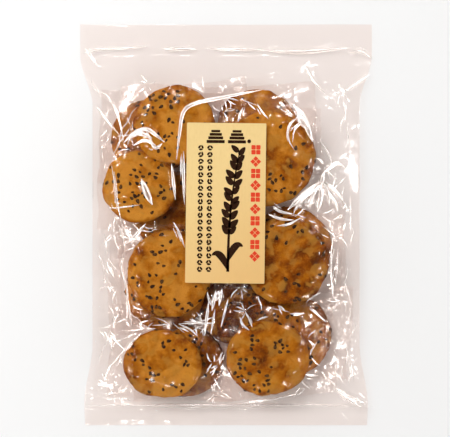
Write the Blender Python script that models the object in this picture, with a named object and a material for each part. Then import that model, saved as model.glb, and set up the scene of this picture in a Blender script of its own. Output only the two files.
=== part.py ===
"""A sealed clear bag of round rice crackers, lying on its back with its paper label up.

The bag is one closed solid, out to the film: a pillow over two layers of crackers, with a flat
header above the upper seal and a drooping fin below the lower one. Lengths are in metres, +Z is
up, +Y runs towards the header, and the origin is on the table under the middle of the bag.
"""

import math

import bmesh
import bpy

BAG_LENGTH = 0.264
HEADER_WIDTH = 0.192
BODY_WIDTH = 0.175
FOOT_WIDTH = 0.186
UPPER_SEAL_Y = 0.1155
LOWER_SEAL_Y = -0.118

FIN_THICKNESS = 0.0014
HEADER_HEIGHT = 0.0016
SIDE_SEAM_HEIGHT = 0.0085
LOWER_SEAL_HEIGHT = 0.0075

GAP_LEVEL = 0.0200
LABEL_LEVEL = 0.0302
SIDE_SHOULDER = 0.024
FOOT_SHOULDER = 0.022
HEAD_SLOPE_START = 0.078
HEAD_SLOPE_END = 0.112
FLOOR_MARGIN = 0.020

LABEL_SIZE = (0.0510, 0.1030)
LABEL_THICKNESS = 0.0005
LABEL_CENTRE = (-0.0002, 0.0141)
LABEL_TURN = math.radians(-0.7)
LABEL_CORNER = 0.0006
LABEL_MARGIN = 0.0040
LABEL_BLEND = 0.010
TOUCHING_GAP = 0.0003

# Each cracker of the upper layer: x, y, diameter across, diameter along, height of its top.
UPPER_CRACKERS = {
    "upper_left": (-0.0335, 0.0648, 0.052, 0.052, 0.0285),
    "second_left": (-0.0558, 0.0248, 0.048, 0.047, 0.0275),
    "third_left": (-0.0367, -0.0314, 0.054, 0.056, 0.0302),
    "lower_left": (-0.0412, -0.0904, 0.051, 0.045, 0.0280),
    "upper_right": (0.0275, 0.0432, 0.060, 0.061, 0.0300),
    "middle_right": (0.0390, -0.0232, 0.055, 0.057, 0.0302),
    "lower_right": (0.0270, -0.0862, 0.054, 0.049, 0.0285),
}
FILM_CLEARANCE = 0.004
DOME_SHARPNESS = 4

COLUMNS = 44
ROWS = 62


def smooth_step(start, end, value):
    """0 at start, 1 at end, level at both."""
    t = min(max((value - start) / (end - start), 0.0), 1.0)
    return t * t * (3 - 2 * t)


def mix(a, b, share):
    return a + (b - a) * share


def shoulder(distance, width):
    """A quarter of an ellipse: 0 at the rim, 1 from width inwards."""
    t = min(max(distance / width, 0.0), 1.0)
    return math.sqrt(1 - (1 - t) ** 2)


def half_width(y):
    """Half the bag's width at y: full at the seals, drawn in where the crackers fill it."""
    head = smooth_step(HEAD_SLOPE_START, HEAD_SLOPE_END, y)
    foot = smooth_step(LOWER_SEAL_Y + 0.040, LOWER_SEAL_Y, y)
    width = mix(BODY_WIDTH, HEADER_WIDTH, head)
    return mix(width, FOOT_WIDTH, foot) / 2


def rim_height(y):
    """Height of the film's closed edge above the table."""
    head = smooth_step(HEAD_SLOPE_START, HEAD_SLOPE_END, y)
    height = mix(SIDE_SEAM_HEIGHT, HEADER_HEIGHT, head)
    height = mix(LOWER_SEAL_HEIGHT, height, smooth_step(LOWER_SEAL_Y, LOWER_SEAL_Y + 0.03, y))
    droop = smooth_step(LOWER_SEAL_Y, -BAG_LENGTH / 2, y)
    return mix(height, HEADER_HEIGHT, droop)


def dome(x, y, cracker):
    """The film's level over one cracker, or the gap level beyond it."""
    cx, cy, across, along, top = cracker
    reach_x = across / 2 + FILM_CLEARANCE
    reach_y = along / 2 + FILM_CLEARANCE
    spread = math.hypot((x - cx) / reach_x, (y - cy) / reach_y)
    return GAP_LEVEL + (top - GAP_LEVEL) * max(1 - spread**DOME_SHARPNESS, 0)


def label_share(x, y):
    """1 under the label, where the film lies level, and 0 away from it."""
    dx = abs(x - LABEL_CENTRE[0]) - LABEL_SIZE[0] / 2 - LABEL_MARGIN
    dy = abs(y - LABEL_CENTRE[1]) - LABEL_SIZE[1] / 2 - LABEL_MARGIN
    return 1 - smooth_step(0, LABEL_BLEND, max(dx, dy))


def film_level(x, y):
    """Height of the upper film over the crackers, away from the bag's edges."""
    level = max(dome(x, y, cracker) for cracker in UPPER_CRACKERS.values())
    return mix(level, LABEL_LEVEL, label_share(x, y))


def upper_height(x, y):
    swell = shoulder(half_width(y) - abs(x), SIDE_SHOULDER)
    swell *= shoulder(y - LOWER_SEAL_Y, FOOT_SHOULDER)
    swell *= 1 - smooth_step(HEAD_SLOPE_START, HEAD_SLOPE_END, y)
    edge = rim_height(y) + FIN_THICKNESS / 2
    return mix(edge, film_level(x, y), swell)


def lower_height(x, y):
    """Height of the film below: flat on the table, rising to the rim."""
    settle = shoulder(half_width(y) - abs(x), FLOOR_MARGIN)
    settle *= shoulder(y - LOWER_SEAL_Y, FLOOR_MARGIN)
    settle *= shoulder(UPPER_SEAL_Y - y, FLOOR_MARGIN)
    return (rim_height(y) - FIN_THICKNESS / 2) * (1 - settle)


def clear_scene():
    for old in list(bpy.data.objects):
        bpy.data.objects.remove(old)


def make_material(name, colour, roughness):
    material = bpy.data.materials.new(name)
    material.use_nodes = True
    shader = material.node_tree.nodes["Principled BSDF"]
    shader.inputs["Base Color"].default_value = (*colour, 1)
    shader.inputs["Roughness"].default_value = roughness
    shader.inputs["Metallic"].default_value = 0
    return material


def add_object(name, bm, material):
    mesh = bpy.data.meshes.new(name)
    bm.to_mesh(mesh)
    bm.free()
    mesh.materials.append(material)
    built = bpy.data.objects.new(name, mesh)
    bpy.context.scene.collection.objects.link(built)
    return built


def build_bag():
    """A grid extruded into a slab, whose two faces then take the two films' heights."""
    bm = bmesh.new()
    bmesh.ops.create_grid(bm, x_segments=COLUMNS, y_segments=ROWS, size=1)
    slab = bmesh.ops.extrude_face_region(bm, geom=bm.faces[:])
    upper = {v for v in slab["geom"] if isinstance(v, bmesh.types.BMVert)}
    for vert in bm.verts:
        y = vert.co.y * BAG_LENGTH / 2
        x = vert.co.x * half_width(y)
        height = upper_height if vert in upper else lower_height
        vert.co = (x, y, height(x, y))
    bmesh.ops.triangulate(bm, faces=bm.faces[:])
    bmesh.ops.recalc_face_normals(bm, faces=bm.faces[:])
    bag = add_object("bag", bm, make_material("film_over_crackers", (0.72, 0.50, 0.27), 0.25))
    bag.data.shade_smooth()
    bag.data.set_sharp_from_angle(angle=math.radians(50))
    return bag


def build_label():
    """A paper card with barely rounded corners, level on the film."""
    bm = bmesh.new()
    bmesh.ops.create_cube(bm, size=1)
    bmesh.ops.scale(bm, vec=(*LABEL_SIZE, LABEL_THICKNESS), verts=bm.verts[:])
    upright = [e for e in bm.edges if abs(e.verts[0].co.z - e.verts[1].co.z) > LABEL_THICKNESS / 2]
    bmesh.ops.bevel(bm, geom=upright, offset=LABEL_CORNER, segments=3, profile=0.5, affect="EDGES")
    label = add_object("label", bm, make_material("label_paper", (0.86, 0.72, 0.44), 0.8))
    label.location = (*LABEL_CENTRE, LABEL_LEVEL + TOUCHING_GAP + LABEL_THICKNESS / 2)
    label.rotation_euler = (0, 0, LABEL_TURN)
    return label


clear_scene()
build_bag()
build_label()
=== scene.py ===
# A sealed clear bag of wrapped rice crackers on its back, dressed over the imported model.
# Lengths are in metres unless a name says millimetres; +Z is up and +Y runs towards the header.
import math
import random

import bmesh
import bpy
import numpy as np
from mathutils import Matrix, Vector, noise
from mathutils.bvhtree import BVHTree


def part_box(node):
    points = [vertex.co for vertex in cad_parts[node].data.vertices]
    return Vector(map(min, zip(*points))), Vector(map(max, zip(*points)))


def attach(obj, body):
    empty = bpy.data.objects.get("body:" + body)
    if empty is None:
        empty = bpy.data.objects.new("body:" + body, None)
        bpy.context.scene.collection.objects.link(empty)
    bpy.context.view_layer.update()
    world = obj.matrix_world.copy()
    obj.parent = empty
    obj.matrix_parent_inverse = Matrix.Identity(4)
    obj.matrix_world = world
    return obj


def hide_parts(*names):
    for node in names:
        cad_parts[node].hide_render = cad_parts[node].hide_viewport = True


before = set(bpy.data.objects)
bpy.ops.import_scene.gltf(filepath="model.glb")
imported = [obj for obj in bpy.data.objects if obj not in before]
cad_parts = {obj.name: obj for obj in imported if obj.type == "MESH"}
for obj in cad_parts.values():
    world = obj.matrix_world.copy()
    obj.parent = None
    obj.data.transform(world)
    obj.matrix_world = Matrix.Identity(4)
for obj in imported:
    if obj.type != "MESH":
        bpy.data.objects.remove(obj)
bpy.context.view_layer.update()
bagLow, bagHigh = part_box("bag")
labelLow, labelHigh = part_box("label")
mm = 0.001

photo = {
    "width": 450,
    "millimetresAPixel": 0.65,
    "bagMiddle": (226, 225),  # the pixel over the origin
}


def place(pixel):
    # a pixel of the photograph as x and y on the bag, in metres
    across = (pixel[0] - photo["bagMiddle"][0]) * photo["millimetresAPixel"] * mm
    along = (photo["bagMiddle"][1] - pixel[1]) * photo["millimetresAPixel"] * mm
    return across, along


def smoothStep(start, end, value):
    share = np.clip((value - start) / (end - start), 0, 1)
    return share * share * (3 - 2 * share)


# Materials

class Wire:
    # a socket of a node tree; maths on it adds the nodes
    def __init__(self, tree, socket):
        self.tree = tree
        self.socket = socket

    def maths(self, operation, *values):
        node = self.tree.nodes.new("ShaderNodeMath")
        node.operation = operation
        for slot, value in zip(node.inputs, values):
            if isinstance(value, Wire):
                self.tree.links.new(value.socket, slot)
            else:
                slot.default_value = value
        return Wire(self.tree, node.outputs[0])

    def __add__(self, other):
        return self.maths("ADD", self, other)

    def __radd__(self, other):
        return self.maths("ADD", other, self)

    def __sub__(self, other):
        return self.maths("SUBTRACT", self, other)

    def __rsub__(self, other):
        return self.maths("SUBTRACT", other, self)

    def __mul__(self, other):
        return self.maths("MULTIPLY", self, other)

    def __rmul__(self, other):
        return self.maths("MULTIPLY", other, self)

    def __truediv__(self, other):
        return self.maths("DIVIDE", self, other)

    def __pow__(self, other):
        return self.maths("POWER", self, other)


class Bench:
    # one material; node() adds any node, its settings first and then its sockets
    def __init__(self, name):
        self.material = bpy.data.materials.new(name)
        self.material.use_nodes = True
        self.tree = self.material.node_tree
        self.tree.nodes.clear()
        self.where = self.node("ShaderNodeTexCoord", output=3)  # the place on the piece

    def node(self, kind, settings=None, sockets=None, output=0):
        made = self.tree.nodes.new(kind)
        for setting, value in (settings or {}).items():
            if setting == "stops":
                self.setStops(made.color_ramp, value)
            else:
                setattr(made, setting, value)
        for name, value in (sockets or {}).items():
            if isinstance(value, Wire):
                self.tree.links.new(value.socket, made.inputs[name])
            else:
                made.inputs[name].default_value = value
        return Wire(self.tree, made.outputs[output]) if made.outputs else None

    def setStops(self, ramp, stops):
        while len(ramp.elements) < len(stops):
            ramp.elements.new(0.5)
        for element, (position, colour) in zip(ramp.elements, stops):
            element.position = position
            element.color = (*colour, 1)

    def noise(self, size, detail=2.0, roughness=0.5, distortion=0.0, where=None):
        # cloudy noise whose patches are about size across
        return self.node(
            "ShaderNodeTexNoise", {},
            {"Vector": where or self.where, "Scale": 1 / size, "Detail": detail, "Roughness": roughness,
             "Distortion": distortion},
        )

    def blend(self, share, first, second):
        # two colours mixed; each is a Wire or a plain colour
        colours = [c if isinstance(c, Wire) else (*c, 1) for c in (first, second)]
        return self.node(
            "ShaderNodeMix", {"data_type": "RGBA"},
            {0: share, 6: colours[0], 7: colours[1]}, output=2,
        )

    def ramp(self, value, low, high):
        # value from 0 at low to 1 at high, eased
        return self.node(
            "ShaderNodeMapRange", {"interpolation_type": "SMOOTHSTEP"},
            {"Value": value, "From Min": low, "From Max": high},
        )

    def attribute(self, name):
        # a number that each point of the mesh holds
        return self.node("ShaderNodeAttribute", {"attribute_name": name}, output=2)

    def bump(self, height, strength=1.0):
        return self.node("ShaderNodeBump", {}, {"Height": height, "Distance": 1.0, "Strength": strength})

    def finish(self, surface):
        self.node("ShaderNodeOutputMaterial", {}, {"Surface": surface})
        return self.material

    def opaque(self, colour, roughness, specular, bump=None):
        # the finished material of a surface that isn't see-through
        sockets = {"Base Color": colour, "Roughness": roughness, "Specular IOR Level": specular}
        if bump:
            sockets["Normal"] = bump
        return self.finish(self.node("ShaderNodeBsdfPrincipled", {}, sockets))


filmLook = {
    "tint": (0.988, 0.950, 0.933),
    "glossTint": (0.98, 0.95, 0.92, 1),
    "facingGloss": 0.013,
    "roughness": 0.12,
    "grazingGloss": 0.55,
    "waveSize": 9.0 * mm,
    "waveDepth": 0.03 * mm,
    "crinkleSize": 7.0 * mm,
    "crinkleDepth": 0.34 * mm,
    "crinkleWidth": 0.13,  # share of crinkleSize
    "patchSize": 16 * mm,  # patches of crinkled film
    "patchEdges": (0.50, 0.66),
    "ribSize": 2.2 * mm,
    "ribDepth": 0.30 * mm,
    "brokenSize": 5 * mm,  # patches where the crimped ribs are broken off
    "brokenEdges": (0.42, 0.60),
    "tightGloss": 0.30,  # share of the gloss left where film lies tight on a cracker
}

creaseLook = {  # film folded on itself: it mirrors more, and less sharply
    **filmLook,
    "facingGloss": 0.22,
    "roughness": 0.34,
    "waveDepth": 0.0,
    "crinkleDepth": 0.0,
    "tightGloss": 1.0,
}

wrapperLook = {
    **filmLook,
    "tint": (0.978, 0.958, 0.950),
    "crinkleSize": 6.0 * mm,
    "crinkleDepth": 0.306 * mm,
}


def filmMaterial(name, look, ribbed=False):
    # clear film: mostly see-through, with a sharp gloss that rises towards grazing
    bench = Bench(name)
    warp = bench.node(
        "ShaderNodeTexNoise", {},
        {"Vector": bench.where, "Scale": 0.5 / look["crinkleSize"], "Detail": 0.0}, 1)
    shifted = bench.node(
        "ShaderNodeVectorMath", {"operation": "MULTIPLY_ADD"},
        {0: warp, 1: (look["crinkleSize"],) * 3, 2: bench.where})
    edge = bench.node(
        "ShaderNodeTexVoronoi", {"feature": "DISTANCE_TO_EDGE"},
        {"Vector": shifted, "Scale": 1 / look["crinkleSize"]})
    loose = bench.attribute("looseShare")
    patch = bench.ramp(bench.noise(look["patchSize"], 0.0), *look["patchEdges"]) * loose
    line = (1 - bench.ramp(edge, 0.0, look["crinkleWidth"])) * patch * look["crinkleDepth"]
    wave = bench.noise(look["waveSize"], 0.0, 0.4, 0.6) * look["waveDepth"]
    relief = wave * loose + line
    if ribbed:  # the crimped seals of a wrapper
        angle = bench.attribute("sealRun") * (math.tau / look["ribSize"])
        broken = bench.ramp(bench.noise(look["brokenSize"], 1.0), *look["brokenEdges"])
        ribs = angle.maths("SINE", angle) * bench.attribute("sealShare") * broken
        relief = relief + ribs * (0.5 * look["ribDepth"])
    bump = bench.bump(relief)
    turned = bench.node("ShaderNodeLayerWeight", {}, {"Blend": 0.5, "Normal": bump}, 1)
    single = look["facingGloss"] + look["grazingGloss"] * turned**5
    kept = loose * (1 - look["tightGloss"]) + look["tightGloss"]
    mirrored = 2 * single / (1 + single) * kept  # both faces of the film
    clear = bench.node("ShaderNodeBsdfTransparent", {}, {"Color": (*look["tint"], 1)})
    gloss = bench.node(
        "ShaderNodeBsdfPrincipled", {},
        {"Base Color": look["glossTint"], "Metallic": 1.0, "Roughness": look["roughness"], "Normal": bump})
    return bench.finish(bench.node("ShaderNodeMixShader", {}, {0: mirrored, 1: clear, 2: gloss}))


crackerLook = {
    "pale": (0.58, 0.245, 0.030),
    "golden": (0.43, 0.146, 0.007),
    "brown": (0.25, 0.062, 0.002),
    "dark": (0.11, 0.026, 0.002),
    "straw": (0.50, 0.235, 0.034),
    # the heat these stops read also carries painted shadow and a painted veil
    "stops": (0.10, 0.42, 0.74, 1.0),  # heat from pale to dark
    "toastHeat": 0.66,
    "patchHeat": 1.55,
    "mottleHeat": 0.85,
    "startHeat": 0.13,
    "patchSize": 16 * mm,
    "mottleSize": 4 * mm,
    "speckSize": 1.1 * mm,
    "speckEdges": (0.58, 0.75),
    "speckShare": 0.45,
    "flourEdges": (0.44, 0.28),
    "flourShare": 0.30,
    "strawSize": 8 * mm,
    "strawEdges": (0.48, 0.62),
    "strawShare": 0.62,
    "grainSize": 0.7 * mm,
    "grainDepth": 0.10 * mm,
    "poreSize": 2.2 * mm,
    "poreDepth": 0.22 * mm,
    "roughness": 0.46,
    "mottleShine": 0.25,
}


def crackerMaterial(look):
    # baked dough under soy glaze: paler on its blisters' flanks, browner on their tops and at the rim;
    # darker where a cracker's shade holds painted shadow, and paler where a painted veil stands in for a
    # reflection
    bench = Bench("cracker_crust")
    patches = bench.noise(look["patchSize"], 3.0, 0.55, 0.4) - 0.5
    mottle = bench.noise(look["mottleSize"], 3.0, 0.6) - 0.5
    specks = bench.noise(look["speckSize"], 2.0, 0.6)
    straw = bench.noise(look["strawSize"], 2.0, 0.5, 0.3)
    heatAndPaintedLight = bench.attribute("toast") * look["toastHeat"] + patches * look["patchHeat"]
    # ownShade darkens each cracker by its own tone and, on the lower layer, by painted shadow
    heatAndPaintedLight = heatAndPaintedLight + mottle * look["mottleHeat"] + bench.attribute("ownShade") + look["startHeat"]
    colours = [look[name] for name in ("pale", "golden", "brown", "dark")]
    base = bench.node("ShaderNodeValToRGB", {"stops": list(zip(look["stops"], colours))}, {"Fac": heatAndPaintedLight})
    speckShare = bench.ramp(specks, *look["speckEdges"]) * look["speckShare"]
    flourShare = bench.ramp(specks, *look["flourEdges"]) * look["flourShare"]
    strawShare = bench.ramp(straw, *look["strawEdges"]) * look["strawShare"]
    speckled = bench.blend(speckShare, base, look["brown"])
    floury = bench.blend(flourShare, speckled, look["pale"])
    varied = bench.blend(strawShare, floury, look["straw"])
    grain = bench.noise(look["grainSize"], 3.0, 0.65) * look["grainDepth"]
    pores = bench.noise(look["poreSize"], 2.0, 0.5) * look["poreDepth"]
    shine = look["roughness"] + look["mottleShine"] * mottle
    return bench.opaque(varied, shine, 0.02, bench.bump(grain + pores, 0.9))


seedLook = {
    "black": (0.032, 0.015, 0.007),
    "brown": (0.12, 0.058, 0.018),
    "toneSize": 2.0 * mm,
    "toneEdges": (0.35, 0.7),
    "dimpleSize": 0.4 * mm,
    "dimpleDepth": 0.05 * mm,
}


def seedMaterial(look):
    bench = Bench("sesame_black")
    tone = bench.ramp(bench.noise(look["toneSize"], 1.0), *look["toneEdges"])
    dimple = bench.noise(look["dimpleSize"], 2.0) * look["dimpleDepth"]
    return bench.opaque(bench.blend(tone, look["black"], look["brown"]), 0.5, 0.03, bench.bump(dimple))


paperLook = {
    "lit": (0.87, 0.635, 0.283),
    "shaded": (0.80, 0.50, 0.20),
    "fibre": (0.72, 0.48, 0.19),
    "fibreSize": 0.9 * mm,
    "fibreStretch": (1.0, 0.25, 1.0),
    "fibreEdges": (0.45, 0.70),
    "fibreShare": 0.22,
    "fibreDepth": 0.03 * mm,
    "cloudSize": 30 * mm,
    "shadeEdges": (-45 * mm, 65 * mm),  # from the upper left to the lower right
}


def paperMaterial(look):
    # straw-coloured card with faint long fibres, and painted shade that darkens it from the upper left to
    # the lower right
    bench = Bench("label_straw_paper")
    stretched = bench.node(
        "ShaderNodeMapping", {}, {"Vector": bench.where, "Scale": look["fibreStretch"]})
    fibres = bench.noise(look["fibreSize"], 4.0, 0.7, where=stretched)
    clouds = bench.noise(look["cloudSize"], 2.0)
    across = bench.node("ShaderNodeSeparateXYZ", {}, {0: bench.where})
    along = bench.node("ShaderNodeSeparateXYZ", {}, {0: bench.where}, 1)
    # painted shade: the lit colour at the upper left fades into the shaded one at the lower right
    shade = bench.ramp(across * 0.7 - along + clouds * 0.02, *look["shadeEdges"])
    base = bench.blend(shade, look["lit"], look["shaded"])
    fibreShare = bench.ramp(fibres, *look["fibreEdges"]) * look["fibreShare"]
    bump = bench.bump(fibres * look["fibreDepth"])
    return bench.opaque(bench.blend(fibreShare, base, look["fibre"]), 0.72, 0.01, bump)


def inkMaterial(name, thick, thin, roughness):
    # printed ink, a little thinner in places
    bench = Bench(name)
    cover = bench.noise(1.3 * mm, 3.0, 0.65)
    colour = bench.blend(bench.ramp(cover, 0.52, 0.78), thick, thin)
    return bench.opaque(colour, roughness, 0.01, bench.bump(cover * (0.02 * mm)))


def floorMaterial():
    bench = Bench("white_floor")
    colour = bench.blend(bench.noise(300 * mm, 2.0), (0.94, 0.94, 0.94), (0.955, 0.952, 0.945))
    return bench.opaque(colour, 0.85, 0.0)


bagFilm = filmMaterial("bag_film", filmLook)
creaseFilm = filmMaterial("crease_film", creaseLook)
wrapperFilm = filmMaterial("wrapper_film", wrapperLook, ribbed=True)
crust = crackerMaterial(crackerLook)
sesame = seedMaterial(seedLook)
paper = paperMaterial(paperLook)
darkInk = inkMaterial("ink_dark_brown", (0.030, 0.012, 0.006), (0.075, 0.035, 0.018), 0.55)
redInk = inkMaterial("ink_warm_red", (0.74, 0.060, 0.026), (0.80, 0.13, 0.05), 0.5)
print("materials made")


# Meshes

def addPiece(name, points, faces, material):
    mesh = bpy.data.meshes.new(name)
    mesh.from_pydata([tuple(p) for p in points], [], faces)
    mesh.materials.append(material)
    mesh.shade_smooth()
    mesh.set_sharp_from_angle(angle=math.radians(70))
    piece = bpy.data.objects.new(name, mesh)
    bpy.context.scene.collection.objects.link(piece)
    return piece


def addValues(piece, name, values):
    # one number at each point of a piece, for its material
    attribute = piece.data.attributes.new(name, "FLOAT", "POINT")
    attribute.data.foreach_set("value", np.asarray(values, np.float32))


def gridFaces(rows, columns, first=0, flipped=False):
    corner = first + np.arange(rows - 1)[:, None] * columns + np.arange(columns - 1)[None, :]
    quads = np.stack([corner, corner + 1, corner + columns + 1, corner + columns], axis=-1).reshape(-1, 4)
    if flipped:
        quads = quads[:, ::-1]
    return quads.tolist()


def rimLoop(rows, columns, first=0):
    # the numbers of a grid's outermost points, in order
    low = [first + c for c in range(columns - 1)]
    right = [first + r * columns + columns - 1 for r in range(rows - 1)]
    high = [first + (rows - 1) * columns + c for c in range(columns - 1, 0, -1)]
    left = [first + r * columns for r in range(rows - 1, 0, -1)]
    return low + right + high + left


def zipLoops(outer, inner):
    # triangles between two loops that start at the same corner and run the same way
    faces = []
    a, b = 0, 0
    while a < len(outer) or b < len(inner):
        if b >= len(inner) or (a < len(outer) and (a + 1) / len(outer) <= (b + 1) / len(inner)):
            faces.append((outer[a % len(outer)], inner[b % len(inner)], outer[(a + 1) % len(outer)]))
            a += 1
        else:
            faces.append((outer[a % len(outer)], inner[b % len(inner)], inner[(b + 1) % len(inner)]))
            b += 1
    return faces


def closedPillow(across, along, upper, lower, coarse=1):
    # two sheets that share their rim: points and faces; the lower one may have fewer points
    rows, columns = upper.shape
    points = np.stack([across, along, upper], axis=-1).reshape(-1, 3)
    faces = gridFaces(rows, columns)
    inner = (slice(coarse, rows - coarse, coarse), slice(coarse, columns - coarse, coarse))
    under = np.stack([across[inner], along[inner], lower[inner]], axis=-1)
    first = len(points)
    faces += gridFaces(under.shape[0], under.shape[1], first, flipped=True)
    faces += zipLoops(rimLoop(rows, columns), rimLoop(under.shape[0], under.shape[1], first))
    return np.concatenate([points, under.reshape(-1, 3)]), faces


def closeRim(upper, lower):
    # the upper sheet, with its rim halfway to the lower one
    closed = (upper + lower) / 2
    closed[1:-1, 1:-1] = upper[1:-1, 1:-1]
    return closed


def soften(grid, rounds):
    # evens out a grid of heights, keeping its rim
    for _ in range(rounds):
        middle = grid[1:-1, 1:-1]
        around = grid[:-2, 1:-1] + grid[2:, 1:-1] + grid[1:-1, :-2] + grid[1:-1, 2:]
        grid[1:-1, 1:-1] = middle / 2 + around / 8
    return grid


def cloudy(across, along, size, seed):
    # smooth noise from -1 to 1 with patches about size across, for arrays of places
    flat = zip((across / size).ravel(), (along / size).ravel())
    values = [noise.noise((x + seed * 7.31, y - seed * 3.17, seed)) for x, y in flat]
    return np.array(values).reshape(across.shape)


def underLabel(across, along, margin):
    # 1 where the label covers the film
    middle = (labelLow + labelHigh) / 2
    dx = np.abs(across - middle.x) - (labelHigh.x - labelLow.x) / 2
    dy = np.abs(along - middle.y) - (labelHigh.y - labelLow.y) / 2
    return 1 - smoothStep(0, margin, np.maximum(dx, dy))


# Geometry Nodes

class Grower:
    # a Geometry Nodes tree with named inputs, run on a source object to make a plain mesh; a node
    # given as a socket's value stands for its first output
    def __init__(self, name):
        self.tree = bpy.data.node_groups.new(name, "GeometryNodeTree")
        self.tree.interface.new_socket("Geometry", in_out="INPUT", socket_type="NodeSocketGeometry")
        self.tree.interface.new_socket("Geometry", in_out="OUTPUT", socket_type="NodeSocketGeometry")
        self.start = self.tree.nodes.new("NodeGroupInput")
        self.end = self.tree.nodes.new("NodeGroupOutput")

    def input(self, name, kind="NodeSocketFloat"):
        self.tree.interface.new_socket(name, in_out="INPUT", socket_type=kind)
        return self.start.outputs[name]

    def node(self, kind, settings=None, sockets=None):
        made = self.tree.nodes.new(kind)
        for setting, value in (settings or {}).items():
            setattr(made, setting, value)
        for name, value in (sockets or {}).items():
            if isinstance(value, bpy.types.Node):
                value = value.outputs[0]
            if isinstance(value, bpy.types.NodeSocket):
                self.tree.links.new(value, made.inputs[name])
            else:
                made.inputs[name].default_value = value
        return made

    def close(self, geometry, material):
        real = self.node("GeometryNodeRealizeInstances", {}, {"Geometry": geometry})
        smooth = self.node("GeometryNodeSetShadeSmooth", {}, {"Geometry": real})
        coated = self.node("GeometryNodeSetMaterial", {}, {"Geometry": smooth, "Material": material})
        self.tree.links.new(coated.outputs[0], self.end.inputs[0])

    def run(self, name, source, values):
        grown = source.modifiers.new(name, "NODES")
        grown.node_group = self.tree
        for item in self.tree.interface.items_tree:
            if item.in_out == "INPUT" and item.name in values:
                grown[item.identifier] = values[item.name]
        graph = bpy.context.evaluated_depsgraph_get()
        mesh = bpy.data.meshes.new_from_object(source.evaluated_get(graph))
        source.modifiers.remove(grown)
        piece = bpy.data.objects.new(name, mesh)
        bpy.context.scene.collection.objects.link(piece)
        return piece


# Crackers

crackers = {
    "labelRoom": 0.5 * mm,
    "thickness": 10.5 * mm,
    "roundness": 3.0,
    "rimWobble": 0.018,
    "blisterSize": 13 * mm,
    "blisterDepth": 1.9 * mm,
    "smallBlisterSize": 5.5 * mm,
    "smallBlisterDepth": 0.65 * mm,
    "sag": 0.9 * mm,
    "furrowSize": 9.5 * mm,
    "furrowDepth": 0.75 * mm,
    "filmRoom": 1.5 * mm,
    "floorRoom": 0.8 * mm,
    "detail": 6,
    "courses": (-22, 30, 60, 95, 18, 140, -40),  # the upper crackers' furrows, in degrees
    "bigToast": 0.9,
    "smallToast": 0.35,
    "furrowToast": 0.21,
    "broadToast": 0.30,
    "seedMiddle": 0.50,  # share of the full number of seeds
    "seedRange": 2.4,
    "seedLeast": 0.04,
    "rimStart": 0.80,
    "rimFlat": 0.55,
    "rimToast": 0.27,
    "rimBare": 0.7,
    # a painted reflection on one cracker: a paler round part standing in for the wrapper film's veil over it
    "paleEdge": 0.5,  # millimetres
    "paleToast": 0.55,
    "paleBare": 0.6,
}

# Middle across and along, size across and along and height of the film, in millimetres, then the
# tilt in degrees (the first lowers the side towards the header, the second the right side) and a
# shade that darkens the crust, 0 is middling: a cracker's own tone, and in the lower layer also
# painted shadow from the crackers above. pale is a paler round part, a painted reflection of the
# wrapper film's veil over the cracker: its middle and radius.
upperLayer = {
    "upper_left": dict(at=(-33.5, 64.8), size=(52, 52), top=28.5, tilt=(7, -3), shade=0.06),
    "second_left": dict(at=(-55.8, 24.8), size=(48, 47), top=27.5, tilt=(2, -5), shade=-0.03),
    "third_left": dict(at=(-36.7, -31.4), size=(54, 56), top=30.2, tilt=(-2, 2), shade=0.0),
    "lower_left": dict(at=(-41.2, -90.4), size=(51, 45), top=28.0, tilt=(-9, -4), shade=0.12,
                       pale=(12.4, -18.3, 19.0)),
    "upper_right": dict(at=(27.5, 43.2), size=(60, 61), top=30.0, tilt=(3, 3), shade=0.09),
    "middle_right": dict(at=(39, -23.2), size=(55, 57), top=30.2, tilt=(0, 2), shade=0.36),
    "lower_right": dict(at=(27, -86.2), size=(54, 49), top=28.5, tilt=(-7, 4), shade=0.14),
}

# painted shadow: the larger shades here darken crackers that lie in the upper layer's shadow
lowerLayer = {
    "back_upper_left": dict(at=(-49.4, 57), size=(52, 52), top=14.2, tilt=(2, -4), shade=0.12),
    "back_upper_right": dict(at=(20.8, 61.8), size=(54, 54), top=13.8, tilt=(3, 2), shade=0.06),
    "back_second_left": dict(at=(-35, 9), size=(52, 52), top=13.6, tilt=(-5, 3), shade=0.10),
    "back_third_left": dict(at=(-39.7, -43), size=(53, 53), top=14.2, tilt=(-6, -2), shade=0.06),
    "back_middle_right": dict(at=(41.6, -16.3), size=(56, 56), top=14.6, tilt=(6, 3), shade=0.09),
    "back_lower_right": dict(at=(44, -72), size=(50, 52), top=16.2, tilt=(4, 4), shade=0.24),
    "back_lower_left": dict(at=(-25, -90), size=(47, 45), top=12.6, tilt=(-2, 5), shade=0.36),
    "back_middle": dict(at=(6, -56), size=(45, 45), top=15.2, tilt=(6, -7), shade=0.62),
}


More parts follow.
